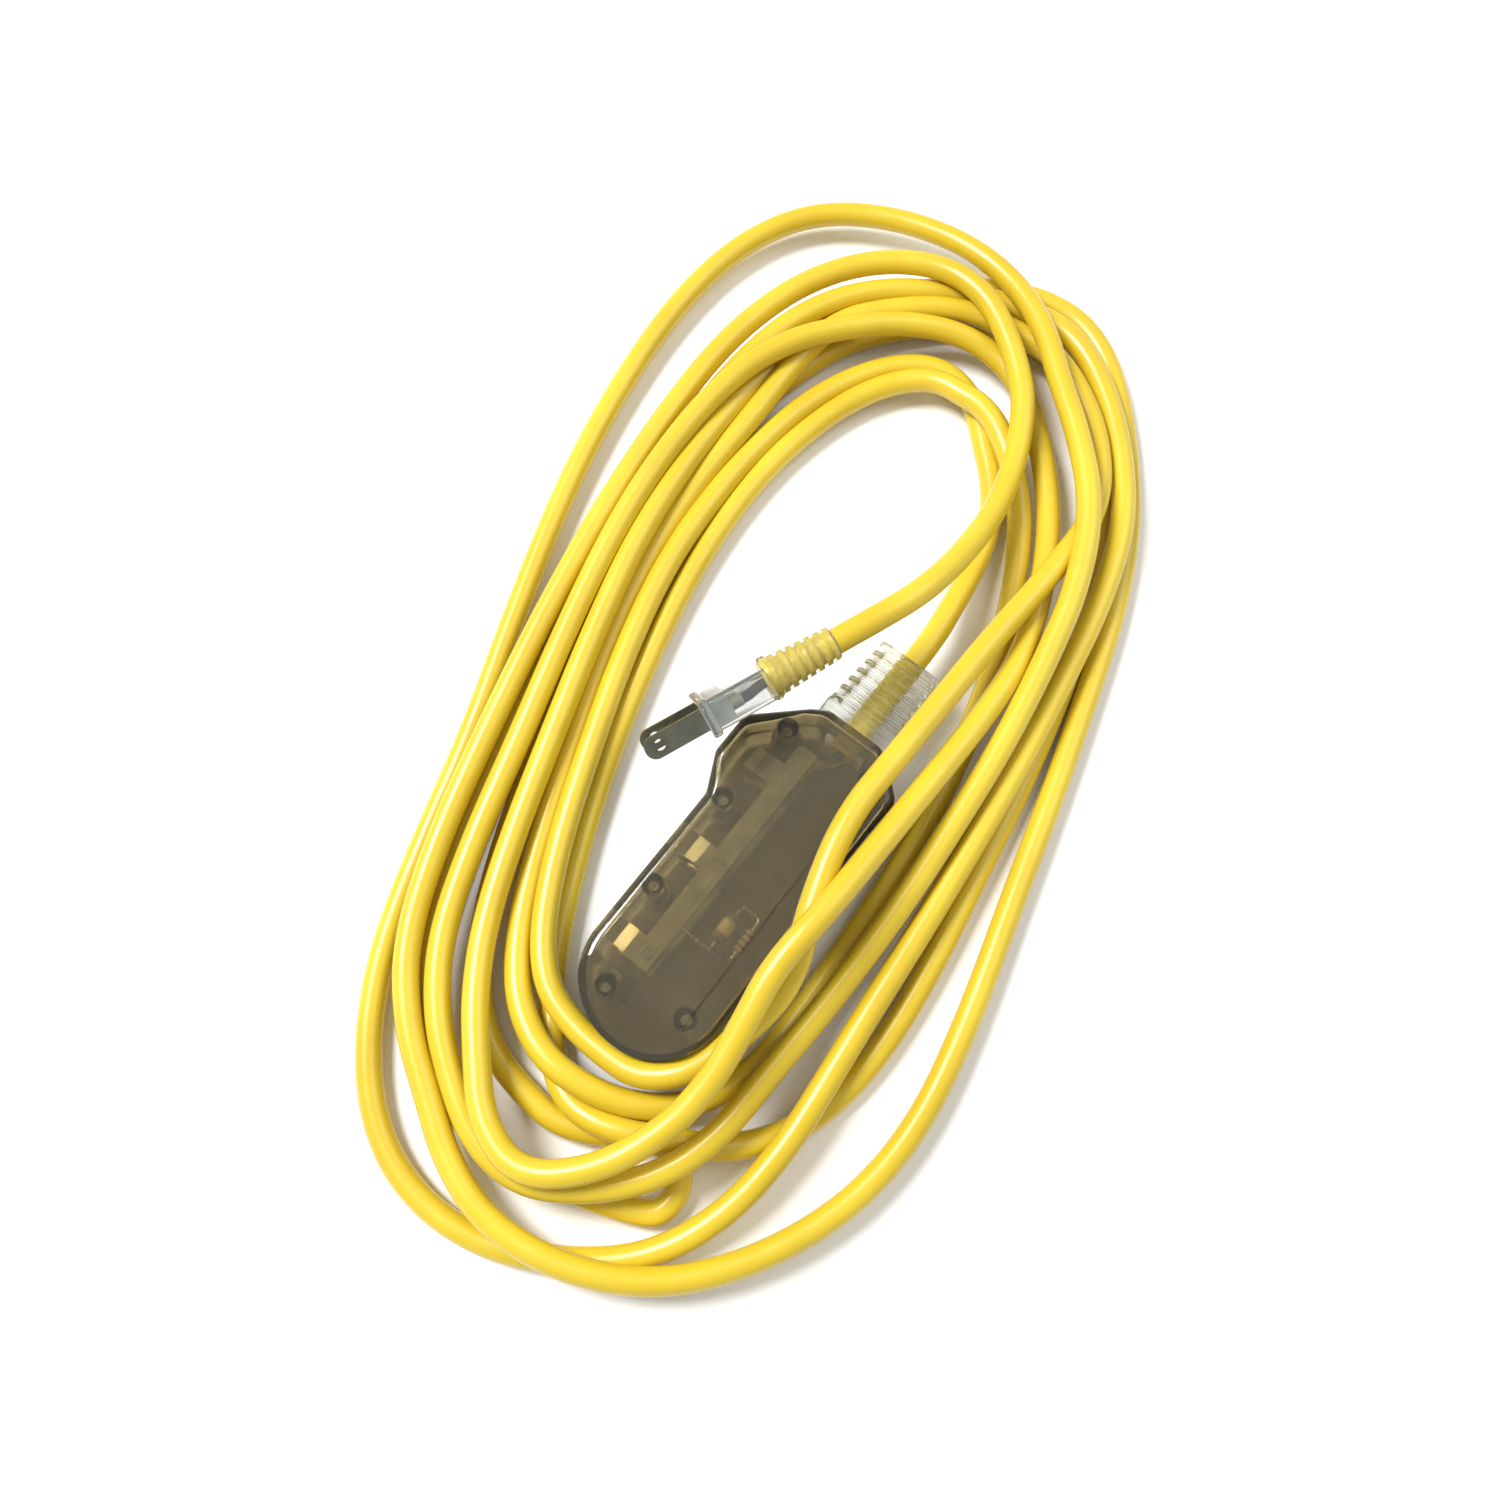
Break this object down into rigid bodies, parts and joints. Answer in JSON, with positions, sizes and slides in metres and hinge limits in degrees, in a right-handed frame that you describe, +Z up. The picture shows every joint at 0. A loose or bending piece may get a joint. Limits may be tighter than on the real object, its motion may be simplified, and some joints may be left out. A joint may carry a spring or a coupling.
{
  "type": "three-outlet extension cord",
  "caption": "Smoke-clear outlet block with side-facing flat slots on a yellow round cord, laid in a loose oval coil, with a clear two-blade plug lying on the block.",
  "frame": {"origin": "on the surface, under the middle of the outlet block with its strain relief", "axes": "+X along the outlet block towards its cord, +Y the way the outlets face, +Z up"},
  "size_m": [0.3428, 0.2169, 0.0495],
  "materials": {
    "smoke_clear": "glossy, see-through",
    "grey_clear": "glossy, see-through",
    "clear_moulding": "glossy, see-through",
    "yellow_sheath": "satin",
    "strip_metal": "satin",
    "rivet_metal": "satin",
    "wire_metal": "satin",
    "screw_steel": "satin",
    "blade_metal": "satin",
    "core_dark": "satin",
    "core_pale": "satin",
    "lamp_glass": "glossy",
    "resistor_paint": "satin",
    "carrier_plastic": "satin"
  },
  "bodies": {
    "root": {"upper_shell": "smoke_clear", "lower_shell": "smoke_clear", "line_bus_bar": "strip_metal", "neutral_bus_bar": "strip_metal", "line_contact_1": "strip_metal", "line_contact_2": "strip_metal", "line_contact_3": "strip_metal", "neutral_contact_1": "strip_metal", "neutral_contact_2": "strip_metal", "neutral_contact_3": "strip_metal", "line_rivets": "rivet_metal", "neutral_rivets": "rivet_metal", "line_crimp": "strip_metal", "neutral_crimp": "strip_metal", "line_core": "core_dark", "neutral_core": "core_pale", "pilot_lamp": "lamp_glass", "lamp_resistor": "resistor_paint", "lamp_lead_line": "wire_metal", "lamp_bridge": "wire_metal", "lamp_lead_neutral": "wire_metal", "housing_screws": "screw_steel", "tap_strain_relief": "grey_clear", "tap_sheath": "yellow_sheath", "plug_body": "clear_moulding", "blade_carrier": "carrier_plastic", "line_blade": "blade_metal", "neutral_blade": "blade_metal", "plug_line_crimp": "strip_metal", "plug_neutral_crimp": "strip_metal", "plug_line_core": "core_dark", "plug_neutral_core": "core_pale", "plug_collar": "clear_moulding", "plug_strain_relief": "clear_moulding", "plug_sheath": "yellow_sheath", "tap_cord": "yellow_sheath", "plug_cord": "yellow_sheath", "cord_coil": "yellow_sheath"}
  },
  "joints": []
}
